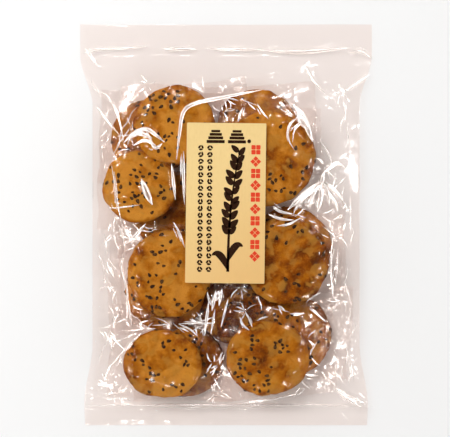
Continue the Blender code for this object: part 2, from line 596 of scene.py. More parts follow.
def crackerShape(spec, number, sphere):
    # a unit sphere's points drawn into one cracker: its points, its toasting with any painted veil, and
    # where its seeds lie
    wide, long = spec["size"][0] / 2 * mm, spec["size"][1] / 2 * mm
    half = crackers["thickness"] / 2
    power = crackers["roundness"]
    flat = np.hypot(sphere[:, 0], sphere[:, 1])
    reach = (flat**power + np.abs(sphere[:, 2])**power) ** (-1 / power)
    angle = np.arctan2(sphere[:, 1], sphere[:, 0])
    draw = random.Random(number)
    wobble = np.ones(len(sphere))
    for lobes in range(2, 8):
        wobble += crackers["rimWobble"] / lobes**0.6 * draw.uniform(0.3, 1) * np.cos(
            lobes * angle + draw.uniform(0, math.tau))
    shape = sphere * reach[:, None] * np.array([wide, long, half])
    shape[:, :2] *= wobble[:, None]
    normal = np.sign(shape) * np.abs(shape / [wide, long, half]) ** (power - 1) / [wide, long, half]
    normal /= np.linalg.norm(normal, axis=1)[:, None]
    swell = np.zeros(len(shape))
    toast = np.zeros(len(shape))
    share = np.zeros(len(shape))
    courses = crackers["courses"]
    course = math.radians(draw.uniform(0, 180) if number > len(courses) else courses[number - 1])
    own = number * 3.7
    for i, (x, y, z) in enumerate(shape):
        side = own + (5 if z > 0 else 0)
        big = noise.noise((x / crackers["blisterSize"] + own, y / crackers["blisterSize"], z * 60 + side))
        fine = crackers["smallBlisterSize"]
        small = noise.noise((x / fine, y / fine + own, z * 90))
        broad = noise.noise((x * 30 + own, y * 30 - own, side))
        along = x * math.sin(course) + y * math.cos(course) + broad * 4 * mm
        furrow = math.sin(along * math.tau / crackers["furrowSize"]) * (0.5 + broad)
        swell[i] = (
            crackers["blisterDepth"] * (abs(big) * 1.6 - 0.3)
            + crackers["smallBlisterDepth"] * (abs(small) * 1.6 - 0.3)
            + crackers["furrowDepth"] * furrow
        )
        toast[i] = (
            abs(big) * crackers["bigToast"] + abs(small) * crackers["smallToast"]
            + furrow * crackers["furrowToast"] + broad * crackers["broadToast"]
        )
        wanted = crackers["seedMiddle"]
        wanted += crackers["seedRange"] * noise.noise((x * 75 - own, y * 75, side * 1.3))
        share[i] = min(max(wanted, crackers["seedLeast"]), 1.0)
    rim = smoothStep(crackers["rimStart"], 1.0, np.hypot(shape[:, 0] / wide, shape[:, 1] / long))
    swell *= 1 - crackers["rimFlat"] * rim
    toast += crackers["rimToast"] * rim
    share *= 1 - crackers["rimBare"] * rim
    # painted reflection: the paler part stands in for the wrapper film's veil over the cracker, with fewer
    # seeds
    if "pale" in spec:  # a smoother, paler part with a round edge
        dx, dy, radius = spec["pale"]
        apart = np.hypot(shape[:, 0] / mm - dx, shape[:, 1] / mm - dy)
        inside = 1 - smoothStep(radius - crackers["paleEdge"], radius + crackers["paleEdge"], apart)
        toast -= crackers["paleToast"] * inside
        share *= 1 - crackers["paleBare"] * inside
    shape += normal * swell[:, None]
    bend = np.hypot(shape[:, 0] / wide, shape[:, 1] / long) ** 2
    saddle = np.cos(2 * angle + draw.uniform(0, math.tau))
    shape[:, 2] += crackers["sag"] * (bend * saddle - 0.35 * bend)
    return shape, toast, share


def addCrackers(name, layer, firstNumber):
    # all of a layer's crackers as one piece
    ball = bmesh.new()
    bmesh.ops.create_icosphere(ball, subdivisions=crackers["detail"], radius=1)
    sphere = np.array([v.co for v in ball.verts])
    sphereFaces = np.array([[v.index for v in f.verts] for f in ball.faces])
    ball.free()
    points, faces, toastsAndPaintedVeil, shares, tonesAndShadows = [], [], [], [], []
    for number, spec in enumerate(layer.values(), firstNumber):
        shape, toast, share = crackerShape(spec, number, sphere)
        lean = Matrix.Rotation(math.radians(-spec["tilt"][0]), 3, "X")
        lean = Matrix.Rotation(math.radians(spec["tilt"][1]), 3, "Y") @ lean
        shape = shape @ np.array(lean).T
        middle = spec["top"] * mm - crackers["filmRoom"] - crackers["thickness"] / 2
        shape += np.array([spec["at"][0] * mm, spec["at"][1] * mm, middle])
        shape[:, 2] = np.maximum(shape[:, 2], crackers["floorRoom"])
        faces += (sphereFaces + len(points) * len(sphere)).tolist()
        points.append(shape)
        toastsAndPaintedVeil.append(toast)
        covered = underLabel(shape[:, 0], shape[:, 1], 2 * mm)
        pressed = covered * (shape[:, 2] > labelLow.z - 3 * mm)
        shape[:, 2] -= covered * np.maximum(shape[:, 2] - labelLow.z + crackers["labelRoom"], 0)
        shares.append(share * (1 - pressed))
        # each cracker's shade: its own tone, which on the lower layer also holds painted shadow
        tonesAndShadows.append(np.full(len(sphere), spec["shade"]))
    piece = addPiece(name, np.concatenate(points), faces, crust)
    for attribute, values in (("toast", toastsAndPaintedVeil), ("seedShare", shares), ("ownShade", tonesAndShadows)):
        addValues(piece, attribute, np.concatenate(values))
    return piece


upperCrackers = addCrackers("crackers_upper_layer", upperLayer, 1)
lowerCrackers = addCrackers("crackers_lower_layer", lowerLayer, 8)
print("crackers made", len(upperCrackers.data.polygons) + len(lowerCrackers.data.polygons))


seeds = {
    "Seeds a square metre": 56000.0,
    "Least gap": 2.3 * mm,
    "Seed": 11,
    "Length": 3.45 * mm,
    "Width": 2.25 * mm,
    "Depth": 1.1 * mm,
    "Least scale": 0.70,
    "Most scale": 1.10,
}


def seedTree():
    # sesame seeds on a crust, lying along its surface and turned at random
    grower = Grower("sesame_seeds")
    seed = grower.input("Seed", "NodeSocketInt")
    density, gap, length, width, depth, least, most = [grower.input(name) for name in (
        "Seeds a square metre", "Least gap", "Length", "Width", "Depth", "Least scale", "Most scale")]
    share = grower.node("GeometryNodeInputNamedAttribute", {"data_type": "FLOAT"}, {"Name": "seedShare"})
    spread = grower.node(
        "GeometryNodeDistributePointsOnFaces", {"distribute_method": "POISSON"},
        {"Mesh": grower.start, "Distance Min": gap, "Density Max": density, "Density Factor": share,
         "Seed": seed})
    ball = grower.node("GeometryNodeMeshUVSphere", {}, {"Segments": 8, "Rings": 6, "Radius": 0.5})
    x, y, z = grower.node("ShaderNodeSeparateXYZ", {}, {0: grower.node("GeometryNodeInputPosition")}).outputs
    narrow = grower.node("ShaderNodeMath", {"operation": "MULTIPLY_ADD"}, {0: x, 1: -0.85, 2: 1.0})
    thin = grower.node("ShaderNodeMath", {"operation": "MULTIPLY"}, {0: y, 1: narrow})
    drop = grower.node("ShaderNodeCombineXYZ", {}, {0: x, 1: thin, 2: z})  # pointed at one end
    pointed = grower.node("GeometryNodeSetPosition", {}, {"Geometry": ball, "Position": drop})
    size = grower.node("ShaderNodeCombineXYZ", {}, {0: length, 1: width, 2: depth})
    shaped = grower.node("GeometryNodeTransform", {}, {"Geometry": pointed, "Scale": size})
    turn = grower.node(
        "FunctionNodeRandomValue", {"data_type": "FLOAT"}, {"Min": 0.0, "Max": math.tau, "Seed": seed})
    spin = grower.node("ShaderNodeCombineXYZ", {}, {2: turn.outputs["Value"]})
    spun = grower.node("FunctionNodeEulerToRotation", {}, {0: spin})
    turned = grower.node(
        "FunctionNodeRotateRotation", {"rotation_space": "LOCAL"}, {0: spread.outputs["Rotation"], 1: spun})
    scale = grower.node(
        "FunctionNodeRandomValue", {"data_type": "FLOAT"}, {"Min": least, "Max": most, "Seed": seed})
    placed = grower.node(
        "GeometryNodeInstanceOnPoints", {},
        {"Points": spread, "Instance": shaped, "Rotation": turned, "Scale": scale.outputs["Value"]})
    grower.close(placed.outputs[0], sesame)
    return grower


seedGrower = seedTree()
upperSeeds = seedGrower.run("seeds_upper_layer", upperCrackers, seeds)
lowerSeeds = seedGrower.run("seeds_lower_layer", lowerCrackers, {**seeds, "Seed": 23})
print("seeds made", len(upperSeeds.data.polygons), len(lowerSeeds.data.polygons))


# The outer bag's film

bag = {
    "bodyWidth": 175 * mm,
    "footWidth": 186 * mm,
    "headStart": 78 * mm,
    "headEnd": 112 * mm,
    "lowerSeal": -118 * mm,
    "footReach": 40 * mm,
    "cellsAcross": 240,
    "cellsAlong": 330,
    "coarse": 3,
    "finWall": 0.7 * mm,  # half of the closed solid's thinnest place
    "sheetGap": 0.12 * mm,
    "crackerRoom": 0.9 * mm,
    "airLift": 0.02 * mm,
    "reliefMost": 2.2 * mm,
    "swellSize": 26 * mm,
    "swellDepth": 1.1 * mm,
    "dentSize": 11 * mm,
    "dentDepth": 0.45 * mm,
    "rippleSize": 6 * mm,
    "rippleDepth": 0.14 * mm,
    "waveSize": 48 * mm,
    "waveDepth": 3.4 * mm,
    "waveStart": 0.35,
    "bodyEnd": (96 * mm, 113 * mm),  # where the film over the crackers runs out into the header
    "headerStart": (82 * mm, 100 * mm),  # where folds and ripples calm down
    "headerCalm": (0.9, 0.7),  # the share of strays and of ripples that goes there
    "tightCalm": 0.85,  # the share of relief that goes over a cracker's face
    "sideFade": 6 * mm,
    "endFade": 3 * mm,
    "edgeRelief": 0.25,  # the share of relief left at the edges
    "thinRoom": (1.5 * mm, 9 * mm),  # where the two sheets are this near they fold together
    "thinShare": 0.9,
    "labelGap": 0.12 * mm,
    "labelFloor": 0.4 * mm,
    "solidCells": (133, 97),
    "solidInset": 0.9985,
    "rounds": ((8, 500), (4, 160), (2, 70), (1, 30)),  # the coarseness and the rounds at each
}


def halfWidth(along):
    head = smoothStep(bag["headStart"], bag["headEnd"], along)
    foot = smoothStep(bag["lowerSeal"] + bag["footReach"], bag["lowerSeal"], along)
    width = bag["bodyWidth"] + (bagHigh.x - bagLow.x - bag["bodyWidth"]) * head
    return (width + (bag["footWidth"] - width) * foot) / 2


def surfaceTree(*pieces):
    points, faces = [], []
    for piece in pieces:
        first = len(points)
        points += [v.co.copy() for v in piece.data.vertices]
        faces += [[first + i for i in f.vertices] for f in piece.data.polygons]
    return BVHTree.FromPolygons(points, faces)


def plumb(tree, across, along, fromAbove, missing):
    # the height of a surface at each place, met from above or from below
    start, course = (0.1, -1) if fromAbove else (-0.1, 1)
    heights = np.full(across.shape, missing, float)
    for spot in np.ndindex(across.shape):
        hit = tree.ray_cast((across[spot], along[spot], start), (0, 0, course))[0]
        if hit is not None:
            heights[spot] = hit.z
    return heights


def readGrid(grid, row, column):
    # a grid of heights read between its points
    low = row.astype(int).clip(0, grid.shape[0] - 2)
    left = column.astype(int).clip(0, grid.shape[1] - 2)
    up, right = row - low, column - left
    lower = grid[low, left] * (1 - right) + grid[low, left + 1] * right
    upper = grid[low + 1, left] * (1 - right) + grid[low + 1, left + 1] * right
    return lower * (1 - up) + upper * up


def stretchGrid(grid, rows, columns):
    # a coarse grid read at more places
    tall = np.linspace(0, grid.shape[0] - 1, rows)
    wide = np.linspace(0, grid.shape[1] - 1, columns)
    return readGrid(grid, *np.meshgrid(tall, wide, indexing="ij"))


def pullTight(heights, floor, edge, held, rounds, air=0.0):
    # a film pulled tight over a floor, swollen a little by air and kept at edge where it is held
    for _ in range(rounds):
        mean = (heights[:-2, 1:-1] + heights[2:, 1:-1] + heights[1:-1, :-2] + heights[1:-1, 2:]) / 4
        heights[1:-1, 1:-1] = np.maximum(mean + air, floor[1:-1, 1:-1])
        heights = np.where(held, edge, heights)
    return heights


def bagGrid(rows, columns, inset=1.0):
    along = np.linspace(bagLow.y * inset, bagHigh.y * inset, rows)
    share = np.linspace(-inset, inset, columns)
    return share[None, :] * halfWidth(along)[:, None], np.repeat(along[:, None], columns, axis=1)


def addCrease(heights, across, along, path, width, height, sharp):
    # raises a ridge along a path of places; sharp 0 is rounded and 1 comes to a crest
    path = np.array(path, float)
    lengths = np.linalg.norm(np.diff(path, axis=0), axis=1)
    total = lengths.sum()
    margin = 4 * width
    rows = np.where((along[:, 0] > path[:, 1].min() - margin) & (along[:, 0] < path[:, 1].max() + margin))[0]
    if len(rows) == 0:
        return
    window = slice(rows[0], rows[-1] + 1)
    x, y = across[window], along[window]
    best = np.full(x.shape, 1e3)
    run = np.zeros(x.shape)
    done = 0.0
    for start, end, length in zip(path[:-1], path[1:], lengths):
        step = (end - start) / max(length, 1e-9)
        t = np.clip((x - start[0]) * step[0] + (y - start[1]) * step[1], 0, length)
        away = np.hypot(x - start[0] - t * step[0], y - start[1] - t * step[1])
        nearer = away < best
        best[nearer] = away[nearer]
        run[nearer] = (done + t)[nearer] / total
        done += length
    taper = smoothStep(0, 0.22, run) * smoothStep(0, 0.22, 1 - run)
    rounded = np.exp(-(best / width) ** 2)
    crested = np.exp(-np.sqrt((best / width) ** 2 + 0.03) * 1.3)
    heights[window] += height * taper * (rounded * (1 - sharp) + crested * sharp)


def curvedPath(points, steps=6):
    # a smooth path through places of the photograph, in metres
    spots = [Vector(place(p)) for p in points]
    if len(spots) == 2:
        return [tuple(s) for s in spots]
    padded = [2 * spots[0] - spots[1]] + spots + [2 * spots[-1] - spots[-2]]
    path = []
    for a, b, c, d in zip(padded, padded[1:], padded[2:], padded[3:]):
        for step in range(steps):
            t = step / steps
            path.append(tuple(0.5 * (2 * b + (c - a) * t + (2 * a - 5 * b + 4 * c - d) * t**2
                                     + (3 * b - a - 3 * c + d) * t**3)))
    path.append(tuple(spots[-1]))
    return path


# Folds that the photograph shows: its pixels, then width and height in millimetres, and sharpness.
bagFolds = {
    "overShoulder": ([(262, 90), (228, 97), (197, 104), (184, 113), (180, 135), (177, 160)], 2.1, 1.7, 0.3),
    "besideLabel": ([(184, 152), (184, 178), (185, 205)], 1.6, 1.3, 0.4),
    "leftOfLabel": ([(172, 164), (174, 182), (176, 200)], 1.7, 1.4, 0.2),
    "rightPeak": ([(292, 104), (303, 118), (312, 142)], 3.6, 1.9, 0.0),
    "rightArc": ([(299, 116), (289, 127), (288, 140), (294, 151)], 0.9, 0.8, 0.4),
    "rightInnerArc": ([(304, 121), (294, 131), (292, 143)], 0.8, 0.7, 0.4),
    "fanStem": ([(324, 172), (322, 179), (321, 186)], 2.6, 1.2, 0.2),
    "fanFirst": ([(320, 182), (306, 192), (287, 210)], 2.7, 1.5, 0.2),
    "fanSecond": ([(318, 185), (312, 196), (307, 207)], 2.3, 1.3, 0.2),
    "fanThird": ([(321, 184), (320, 198), (317, 212)], 2.9, 1.5, 0.2),
    "fanFourth": ([(322, 182), (327, 192), (329, 205)], 2.6, 1.3, 0.2),
    "fanFifth": ([(325, 182), (335, 191), (343, 199)], 2.4, 1.1, 0.2),
    "fanArm": ([(322, 174), (337, 164), (346, 168)], 1.8, 0.8, 0.5),
    "blob": ([(142, 179), (147, 192), (153, 205)], 3.6, 1.3, 0.0),
    "leftCurl": ([(124, 143), (134, 134), (147, 130), (158, 137), (165, 143)], 2.3, 1.2, 0.3),
    "leftCurlLower": ([(152, 146), (157, 149), (163, 144)], 1.6, 0.9, 0.3),
    "leftCorner": ([(112, 103), (119, 120), (124, 141)], 1.0, 0.9, 0.4),
    "leftCornerUpper": ([(97, 108), (104, 117), (114, 130)], 1.1, 0.9, 0.4),
    "hook": ([(112, 203), (114, 208), (125, 207), (141, 205)], 0.8, 0.7, 0.5),
    "starFirst": ([(126, 244), (134, 238), (146, 224)], 1.9, 1.3, 0.2),
    "starSecond": ([(118, 236), (130, 238), (143, 241)], 1.0, 1.0, 0.3),
    "starThird": ([(124, 226), (129, 235), (134, 246)], 1.0, 0.9, 0.3),
    "labelEdgeLower": ([(174, 222), (180, 233), (185, 247)], 1.1, 1.1, 0.3),
    "middleLine": ([(179, 323), (198, 321), (214, 316)], 0.9, 0.8, 0.4),
    "middleLineLower": ([(179, 323), (190, 328), (198, 335)], 0.9, 0.8, 0.4),
    "triangleLeft": ([(109, 334), (117, 342), (126, 350)], 0.9, 0.8, 0.4),
    "triangleRight": ([(126, 350), (133, 341), (144, 331)], 0.9, 0.8, 0.4),
    "footLine": ([(240, 405), (268, 400), (298, 394)], 1.0, 0.8, 0.4),
    "footCorner": ([(334, 390), (348, 399), (362, 409)], 1.2, 1.0, 0.3),
    "headerLine": ([(305, 65), (314, 80), (326, 93)], 0.9, 0.8, 0.5),
    "headerShort": ([(346, 90), (358, 82), (371, 73)], 0.9, 0.7, 0.4),
    "headerBroad": ([(222, 79), (272, 69), (330, 50), (364, 45)], 4.5, 2.4, 0.0),
    "headerBroadLeft": ([(96, 55), (112, 68), (136, 76)], 4.5, 1.8, 0.0),
    "sealWedge": ([(262, 48), (300, 50), (350, 46)], 2.2, 1.6, 0.0),
    "sealMiddle": ([(206, 46), (235, 47), (266, 48)], 1.6, 1.2, 0.0),
    "sealLeft": ([(162, 46), (180, 47), (196, 47)], 1.8, 1.2, 0.0),
    "sealFarLeft": ([(82, 50), (98, 47), (124, 46), (146, 44)], 1.3, 1.0, 0.2),
    "sealFarRight": ([(350, 50), (362, 50), (374, 56)], 1.3, 1.1, 0.2),
    "leftBlobs": ([(84, 46), (90, 55), (96, 64)], 1.5, 1.1, 0.1),
    "longLine": ([(112, 164), (117, 195), (122, 224)], 0.8, 0.7, 0.5),
    "longLineLow": ([(122, 224), (124, 238), (125, 250)], 0.8, 0.7, 0.5),
    "thinCurve": ([(106, 261), (111, 272), (115, 278)], 0.8, 0.7, 0.5),
    "leftSeal": ([(125, 252), (123, 270), (128, 292), (127, 322)], 1.1, 1.0, 0.4),
    "leftSealLow": ([(129, 300), (132, 325)], 1.0, 0.9, 0.4),
    "rightSeal": ([(333, 236), (330, 262), (333, 300)], 1.1, 0.9, 0.4),
    "rightSealOuter": ([(338, 250), (335, 285)], 0.9, 0.8, 0.4),
    "underLabelFirst": ([(216, 290), (212, 310)], 1.7, 1.1, 0.2),
    "underLabelSecond": ([(222, 288), (219, 305)], 1.6, 1.0, 0.2),
    "underLabelThird": ([(209, 300), (205, 332)], 1.5, 1.0, 0.3),
    "underLabelFourth": ([(215, 308), (211, 333)], 1.0, 0.9, 0.3),
    "underLabelFifth": ([(228, 298), (221, 326)], 1.0, 0.9, 0.3),
    "gapLines": ([(190, 318), (200, 322), (215, 322)], 1.0, 0.9, 0.3),
    "gapHook": ([(240, 317), (243, 324), (249, 329)], 1.1, 1.0, 0.2),
    "gapHookOuter": ([(247, 313), (250, 321), (252, 326)], 0.9, 0.8, 0.3),
    "rightDash": ([(289, 313), (304, 313)], 1.0, 0.9, 0.3),
    "rightSlant": ([(309, 308), (318, 315), (326, 322)], 0.9, 0.8, 0.4),
    "lowDash": ([(305, 374), (312, 375), (318, 376)], 1.4, 1.1, 0.2),
    "lowCorner": ([(104, 333), (110, 342), (112, 352)], 1.0, 0.8, 0.3),
    "rightGapFirst": ([(272, 206), (281, 212), (292, 214)], 1.4, 1.0, 0.2),
    "rightGapSecond": ([(268, 214), (279, 219), (293, 220)], 1.2, 0.9, 0.2),
    "rightGapThird": ([(276, 226), (288, 224), (300, 218)], 1.1, 0.9, 0.2),
    "leftPatch": ([(130, 139), (140, 134), (153, 139)], 2.6, 1.0, 0.0),
    "leftPatchLow": ([(134, 146), (146, 141), (158, 148)], 1.8, 0.8, 0.0),
    "leftSpike": ([(146, 128), (150, 138), (155, 150)], 1.3, 0.8, 0.2),
    "rightBlob": ([(297, 113), (302, 122), (308, 130)], 4.2, 1.2, 0.0),
    "underLabelBroad": ([(219, 290), (216, 300)], 3.2, 1.0, 0.0),
    "fanInner": ([(316, 188), (301, 200), (293, 211)], 1.9, 1.0, 0.2),
    "fanLow": ([(325, 188), (335, 203), (338, 212)], 1.7, 1.0, 0.2),
    "aboveLabel": ([(243, 108), (240, 115), (238, 123)], 1.4, 0.9, 0.2),
    "aboveLabelRight": ([(257, 104), (262, 113), (268, 120)], 1.0, 0.8, 0.2),
    "cornerSlant": ([(333, 388), (349, 397), (366, 405)], 1.2, 0.9, 0.2),
    "footSeam": ([(86, 407), (150, 406), (226, 406), (300, 406), (374, 408)], 0.9, 0.6, 0.4),
}

creases = {
    "seed": 5,
    "bend": 0.12,  # share of the length
    # how many, the angle's spread, then ranges: reach or place, length, width and height in
    # millimetres, and sharpness
    "side": (22, 0.55, (3, 16), (6, 17), (0.8, 1.7), (0.3, 1.0), (0.1, 0.6)),
    "around": (5, 0.6, (2, 7), (5, 14), (0.7, 1.5), (0.3, 1.0), (0.1, 0.6)),
    "foot": (14, 0.4, (2, 12), (7, 18), (0.9, 1.8), (0.3, 0.8), (0.1, 0.5)),
    "star": (12, (3, 5), (4, 9), (0.6, 1.1), (0.2, 0.7), (0.2, 0.7)),  # stars, their strokes, ranges
}


def besideSeam(draw, side, low, reach):
    # a random place near one side of the bag
    y = draw.uniform(low, 84) * mm
    return side * (halfWidth(y) - draw.uniform(*reach) * mm), y


def roundCracker(draw, spec, reach):
    # a random place just past a cracker's rim, and its direction from the middle
    angle = draw.uniform(0, math.tau)
    away = spec["size"][0] / 2 + draw.uniform(*reach)
    x, y = spec["at"][0] + away * math.cos(angle), spec["at"][1] + away * math.sin(angle)
    return x * mm, y * mm, angle


def strayCreases(heights, across, along):
    # small creases where film gathers: at the sides, round the crackers, at the foot and in the gaps
    draw = random.Random(creases["seed"])

    def crease(x, y, angle, length, width, height, sharp):
        dx, dy = math.cos(angle) * length / 2, math.sin(angle) * length / 2
        bend = draw.uniform(-creases["bend"], creases["bend"]) * length
        middle = (x - math.sin(angle) * bend, y + math.cos(angle) * bend)
        addCrease(heights, across, along, [(x - dx, y - dy), middle, (x + dx, y + dy)], width, height, sharp)

    def scatter(x, y, angle, kind):
        spread, _, length, width, height, sharp = creases[kind][1:]
        crease(x, y, angle + draw.gauss(0, spread), draw.uniform(*length) * mm, draw.uniform(*width) * mm,
               draw.uniform(*height) * mm, draw.uniform(*sharp))

    for side in (-1, 1):
        for _ in range(creases["side"][0]):
            scatter(*besideSeam(draw, side, -112, creases["side"][2]), 0, "side")
    for spec in upperLayer.values():
        for _ in range(creases["around"][0]):
            scatter(*roundCracker(draw, spec, creases["around"][2]), "around")
    for _ in range(creases["foot"][0]):
        x = draw.uniform(-84, 84) * mm
        scatter(x, bag["lowerSeal"] + draw.uniform(*creases["foot"][2]) * mm, math.pi / 2, "foot")
    stars, strokes, longs, widths, highs, sharps = creases["star"]
    for _ in range(stars):
        x, y = draw.uniform(-80, 80) * mm, draw.uniform(-112, 95) * mm
        for _ in range(draw.randint(*strokes)):
            angle = draw.uniform(0, math.tau)
            length = draw.uniform(*longs) * mm
            crease(x + math.cos(angle) * length / 2, y + math.sin(angle) * length / 2, angle, length,
                   draw.uniform(*widths) * mm, draw.uniform(*highs) * mm, draw.uniform(*sharps))


def fromCracker(spec, x, y):
    # the distance from a cracker's middle, 1 at its rim
    return np.hypot((x - spec["at"][0] * mm) / (spec["size"][0] / 2 * mm),
                    (y - spec["at"][1] * mm) / (spec["size"][1] / 2 * mm))


def crackerFaces(across, along):
    # 1 over the upper crackers' faces, where the film is drawn tight
    share = np.zeros(across.shape)
    for spec in upperLayer.values():
        share = np.maximum(share, 1 - smoothStep(0.92, 1.08, fromCracker(spec, across, along)))
    return share


def drawnTight(across, along, solidTop, contents):
    # the upper sheet pulled over the crackers and the label's level, swollen a little by air
    covered = underLabel(across, along, 2 * mm) > 0.4
    floor = np.maximum(contents, np.where(covered, labelLow.z - bag["labelFloor"], -1))
    filled = (along > bag["lowerSeal"]) & (along < bag["bodyEnd"][1])
    heights = None
    for step, rounds in bag["rounds"]:
        part = (slice(None, None, step), slice(None, None, step)) if step > 1 else (slice(None), slice(None))
        under = floor[part]
        if heights is None:
            heights = np.maximum(solidTop[part] * 0.9, under)
        else:
            heights = stretchGrid(heights, *under.shape)
        edge = solidTop[part]
        held = ~filled[part]
        held[:, 0], held[:, -1] = True, True
        heights = pullTight(heights, under, edge, held, rounds, bag["airLift"] * (step / 8) ** 2)
    return soften(heights, 3)


def bagSheets():
    # the upper and lower sheets' heights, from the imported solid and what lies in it
    rows, columns = bag["cellsAlong"] + 1, bag["cellsAcross"] + 1
    across, along = bagGrid(rows, columns)
    solid = surfaceTree(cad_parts["bag"])
    coarse = bagGrid(*bag["solidCells"], bag["solidInset"])
    top = soften(stretchGrid(plumb(solid, *coarse, True, 0.0), rows, columns), 12)
    bottom = stretchGrid(plumb(solid, *coarse, False, 0.0), rows, columns)
    middle = (top + bottom) / 2
    room = np.maximum((top - bottom) / 2 - bag["finWall"], bag["sheetGap"])
    upper, lower = middle + room, middle - room
    contents = plumb(surfaceTree(upperCrackers, lowerCrackers), across, along, True, -1.0)
    tight = drawnTight(across, along, upper, contents + bag["crackerRoom"])
    body = 1 - smoothStep(*bag["bodyEnd"], along)
    upper = upper + (tight - upper) * body * smoothStep(0, 4 * mm, along - bag["lowerSeal"])

    strays = np.zeros(across.shape)
    strayCreases(strays, across, along)
    folds = np.zeros(across.shape)
    for pixels, width, height, sharp in bagFolds.values():
        addCrease(folds, across, along, curvedPath(pixels), width * mm, height * mm, sharp)
    faces = crackerFaces(across, along)
    label = underLabel(across, along, 3 * mm)
    swells = cloudy(across, along, bag["swellSize"], 3) * bag["swellDepth"]
    swells += cloudy(across, along, bag["dentSize"], 4) * bag["dentDepth"]
    ripples = np.abs(cloudy(across, along, bag["rippleSize"], 5)) * bag["rippleDepth"]
    head = smoothStep(*bag["headerStart"], along)
    lessStrays, lessRipples = bag["headerCalm"]
    loose = (1 - bag["tightCalm"] * faces) * (1 - label)
    relief = strays * (1 - lessStrays * head) + swells + ripples * (1 - lessRipples * head)
    relief = relief * loose + folds * (1 - label)
    relief = bag["reliefMost"] * np.tanh(relief / bag["reliefMost"])
    edge = smoothStep(0, bag["sideFade"], halfWidth(along) - np.abs(across))
    edge = edge * smoothStep(0, bag["endFade"], bagHigh.y - along)
    edge = edge * smoothStep(0, bag["endFade"], along - bagLow.y)
    upper = upper + relief * (bag["edgeRelief"] + (1 - bag["edgeRelief"]) * edge)
    thin = 1 - smoothStep(*bag["thinRoom"], 2 * room)
    wave = (cloudy(across, along, bag["waveSize"], 8) + bag["waveStart"]) * bag["waveDepth"] * head
    upper = upper + np.maximum(wave, 0)
    lower = lower + (np.maximum(wave, 0) + relief * thin * bag["thinShare"])
    ceiling = labelLow.z - bag["labelGap"]
    upper = np.where(label > 0.02, np.minimum(upper, ceiling), upper)
    lower = np.maximum(np.minimum(lower, upper - 2 * bag["sheetGap"]), 0.1 * mm)
    upper = np.maximum(upper, lower + 2 * bag["sheetGap"])
    return across, along, closeRim(upper, lower), lower


bagAcross, bagAlong, bagUpper, bagLower = bagSheets()
bagPoints, bagFaces = closedPillow(bagAcross, bagAlong, bagUpper, bagLower, bag["coarse"])
bagPiece = addPiece("bag_film", bagPoints, bagFaces, bagFilm)
loosePart = 1 - crackerFaces(bagPoints[:, 0], bagPoints[:, 1])
loosePart *= 1 - 0.75 * smoothStep(84 * mm, 96 * mm, bagPoints[:, 1])  # the header is calmer
addValues(bagPiece, "looseShare", loosePart)
print("bag film made", len(bagFaces))


def filmHeights(across, along, sheet):
    # a sheet of the bag read at other places
    rows, columns = sheet.shape
    row = (along - bagLow.y) / (bagHigh.y - bagLow.y) * (rows - 1)
    column = (across / halfWidth(along) + 1) / 2 * (columns - 1)
    return readGrid(sheet, np.clip(row, 0, rows - 1.001), np.clip(column, 0, columns - 1.001))


def foldRidge(path, width, height, sheet, sides=8):
    # a slim closed ridge that follows a path over the film and fades out at both ends
    path = np.array(path, float)
    lengths = np.concatenate([[0], np.cumsum(np.linalg.norm(np.diff(path, axis=0), axis=1))])
    count = max(int(lengths[-1] / (1.0 * mm)), 5)
    run = np.linspace(0, lengths[-1], count + 1)
    x, y = np.interp(run, lengths, path[:, 0]), np.interp(run, lengths, path[:, 1])
    z = filmHeights(x, y, sheet)
    course = np.stack([np.gradient(x), np.gradient(y)], axis=-1)
    course /= np.linalg.norm(course, axis=1)[:, None]
    swell = np.sin(np.pi * np.clip(run / lengths[-1], 0.02, 0.98)) ** 0.7
    points, faces = [], []
    for i in range(count + 1):
        for side in range(sides):
            a = math.tau * side / sides
            out, up = math.cos(a) * width / 2 * swell[i], math.sin(a) * height * swell[i]
            up = up if up > 0 else 0.25 * up
            points.append((x[i] - course[i, 1] * out, y[i] + course[i, 0] * out, z[i] + up))
    for i in range(count):
        low, high = i * sides, (i + 1) * sides
        for side in range(sides):
            after = (side + 1) % sides
            faces.append((low + side, low + after, high + after, high + side))
    faces.append(tuple(range(sides))[::-1])
    faces.append(tuple(count * sides + side for side in range(sides)))
    return points, faces


pleats = {
    "seed": 31,
    "width": (0.35, 1.05),  # millimetres
    "rise": (0.20, 0.34),  # of the width
    "highest": 1.0,  # millimetres
    "widest": 4.3,  # millimetres
    "calm": ((236, 336), 11.0),  # a place in the photograph and millimetres round it without strays
    "crook": 0.22,  # how much a stray bends at each step
    "steps": 7,
    "bursts": 80,
    "strokes": (4, 7),  # of a burst
    "burstLength": (4, 11),  # this and the lengths and reaches below are in millimetres
    "sideEach": 34,
    "sideReach": (4, 20),
    "sideLength": (6, 22),
    "aroundEach": 9,
    "aroundReach": (0, 5),
    "aroundLength": (5, 15),
}


